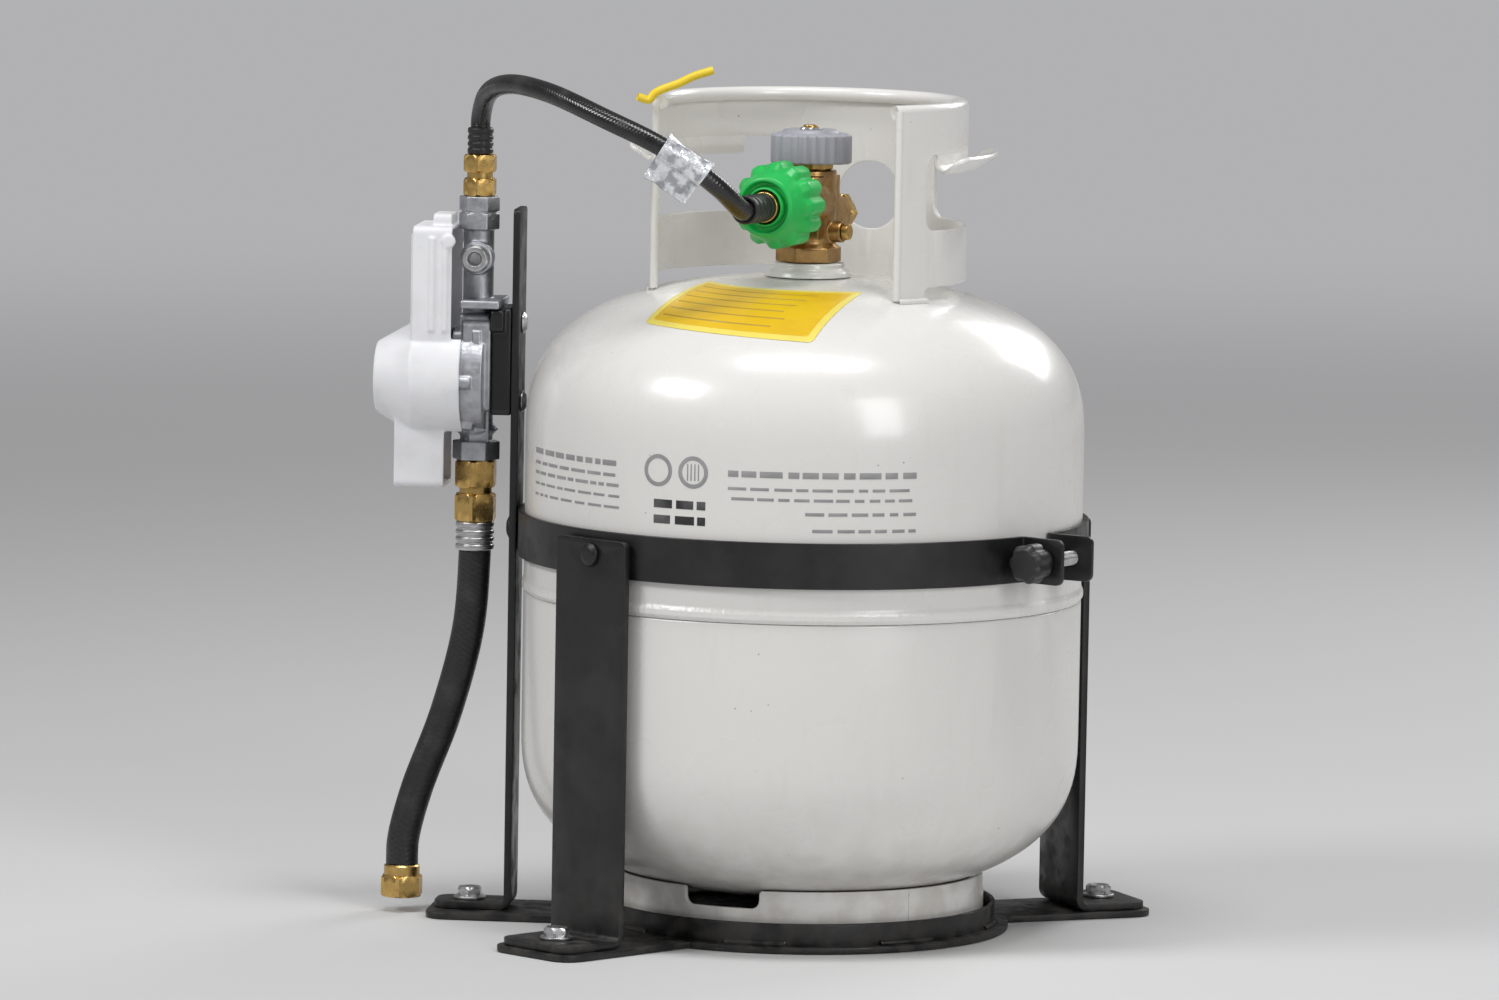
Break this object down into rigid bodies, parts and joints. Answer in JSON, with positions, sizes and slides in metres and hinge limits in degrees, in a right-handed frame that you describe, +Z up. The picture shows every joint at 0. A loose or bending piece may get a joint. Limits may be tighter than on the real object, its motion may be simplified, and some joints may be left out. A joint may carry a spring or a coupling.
{
  "type": "propane tank",
  "caption": "Twenty-pound propane cylinder with guard collar, shut-off valve, hand coupling, hose, low-pressure regulator and black hold-down bracket for a trailer tongue.",
  "frame": {"origin": "on the cylinder's axis, at the underside of the bracket's base plate, which is the face that bolts to a trailer frame", "axes": "+Z up along the cylinder's axis; -Y is the way the valve outlet and the collar's opening face; +Y is the relief valve and the collar's round hole"},
  "size_m": [0.4179, 0.3642, 0.4784],
  "materials": {
    "white_paint": "glossy off-white enamel on steel",
    "yellow_plastic": "moulded yellow plastic",
    "brass": "machined brass, a little dulled",
    "seal_rubber": "black nitrile rubber",
    "grey_wheel": "grey moulded plastic with ribs",
    "steel": "zinc-plated steel",
    "black_plastic": "black moulded plastic",
    "float_foam": "closed-cell float material",
    "green_plastic": "bright green moulded plastic",
    "hose_rubber": "black hose jacket",
    "foil_tag": "silver-grey foil label",
    "cast_zinc": "bare die-cast zinc",
    "white_plastic": "white moulded plastic",
    "black_paint": "satin black powder coat on steel"
  },
  "bodies": {
    "tank": {"lower_shell": "white_paint", "upper_shell": "white_paint", "foot_ring": "white_paint", "valve_boss": "white_paint", "guard_collar": "white_paint", "rim_clip": "yellow_plastic", "valve_body": "brass", "valve_bonnet": "brass", "relief_cap": "brass", "connector_nipple": "brass", "inlet_fitting": "brass", "outlet_fitting": "brass", "supply_swivel_nut": "brass", "diaphragm": "seal_rubber", "port_plug": "steel", "relief_spring": "steel", "float_pin": "steel", "dip_tube": "steel", "regulator_spring": "steel", "outlet_ferrule": "steel", "clamp_bolt": "steel", "front_foot_bolt": "steel", "rear_foot_bolt": "steel", "post_foot_bolt": "steel", "regulator_screw_1": "steel", "regulator_screw_2": "steel", "stop_fill_body": "black_plastic", "connector_seal": "black_plastic", "connector_ferrule": "black_plastic", "adjuster_cap": "black_plastic", "inlet_ferrule": "black_plastic", "pigtail_hose": "hose_rubber", "supply_hose": "hose_rubber", "hose_tag": "foil_tag", "regulator_body": "cast_zinc", "regulator_bonnet": "cast_zinc", "regulator_cover": "white_plastic", "base_plate": "black_paint", "clamp_band": "black_paint", "front_upright": "black_paint", "rear_upright": "black_paint", "regulator_post": "black_paint", "front_band_rivet": "black_paint", "rear_band_rivet": "black_paint", "post_band_rivet": "black_paint"},
    "stem_lift": {"seat_disc": "seal_rubber"},
    "handwheel": {"handwheel": "grey_wheel", "handwheel_nut": "steel", "valve_spindle": "brass"},
    "bleed_screw": {"bleed_screw": "brass"},
    "relief_valve": {"relief_poppet": "seal_rubber"},
    "outlet_check": {"outlet_check": "black_plastic"},
    "float": {"float_arm": "brass", "float": "float_foam"},
    "stopper": {"stop_fill_plunger": "brass"},
    "coupling_nut": {"coupling_nut": "green_plastic"},
    "diaphragm_plate": {"diaphragm_plate": "steel"},
    "regulator_lever": {"regulator_lever": "steel"},
    "regulator_pintle": {"regulator_pintle": "seal_rubber"},
    "clamp_knob": {"clamp_knob": "black_plastic"}
  },
  "joints": [
    {"name": "handwheel_turn", "type": "hinge", "parent": "stem_lift", "child": "handwheel", "pos_m": [0, 0, 0.43], "axis": [0, 0, 1], "range_deg": [0, 540]},
    {"name": "stem_rise", "type": "slide", "parent": "tank", "child": "stem_lift", "axis": [0, 0, 1], "range_m": [0, 0.003]},
    {"name": "bleed_turn", "type": "hinge", "parent": "tank", "child": "bleed_screw", "pos_m": [0.02, 0, 0.3875], "axis": [1, 0, 0], "range_deg": [0, 720]},
    {"name": "relief_lift", "type": "slide", "parent": "tank", "child": "relief_valve", "axis": [0, 1, 0], "range_m": [0, 0.003], "stiffness_N_per_m": 4000, "springref_m": -0.002, "deforming": ["relief_spring"]},
    {"name": "outlet_check_travel", "type": "slide", "parent": "tank", "child": "outlet_check", "axis": [0, 1, 0], "range_m": [0, 0.003]},
    {"name": "float_swing", "type": "hinge", "parent": "tank", "child": "float", "pos_m": [0, 0, 0.292], "axis": [-1, 0, 0], "range_deg": [-35, 40]},
    {"name": "stopper_travel", "type": "slide", "parent": "tank", "child": "stopper", "axis": [0, 0, 1], "range_m": [-0.0028, 0.0032]},
    {"name": "coupling_spin", "type": "hinge", "parent": "tank", "child": "coupling_nut", "pos_m": [0, -0.046, 0.404], "axis": [0, -1, 0], "continuous": true},
    {"name": "diaphragm_travel", "type": "slide", "parent": "tank", "child": "diaphragm_plate", "axis": [-0.9511, -0.309, 0], "range_m": [-0.0012, 0.0012], "stiffness_N_per_m": 3000, "deforming": ["diaphragm", "regulator_spring"]},
    {"name": "lever_swing", "type": "hinge", "parent": "tank", "child": "regulator_lever", "pos_m": [-0.17366, -0.05643, 0.3146], "axis": [0.309, -0.9511, 0], "range_deg": [-4.8, 4.8]},
    {"name": "pintle_travel", "type": "slide", "parent": "tank", "child": "regulator_pintle", "axis": [0, 0, 1], "range_m": [-0.0003, 0.0003]},
    {"name": "clamp_knob_turn", "type": "hinge", "parent": "tank", "child": "clamp_knob", "pos_m": [0.16824, -0.03576, 0.2175], "axis": [-0.2079, -0.9781, 0], "range_deg": [0, 1080]}
  ],
  "couplings": [
    {"joint": "stem_rise", "follows": "handwheel_turn", "m_per_rad": 0.000318},
    {"joint": "stopper_travel", "follows": "float_swing", "m_per_rad": 0.0043},
    {"joint": "lever_swing", "follows": "diaphragm_travel", "rad_per_m": -68.49},
    {"joint": "pintle_travel", "follows": "diaphragm_travel", "ratio": 0.233}
  ]
}
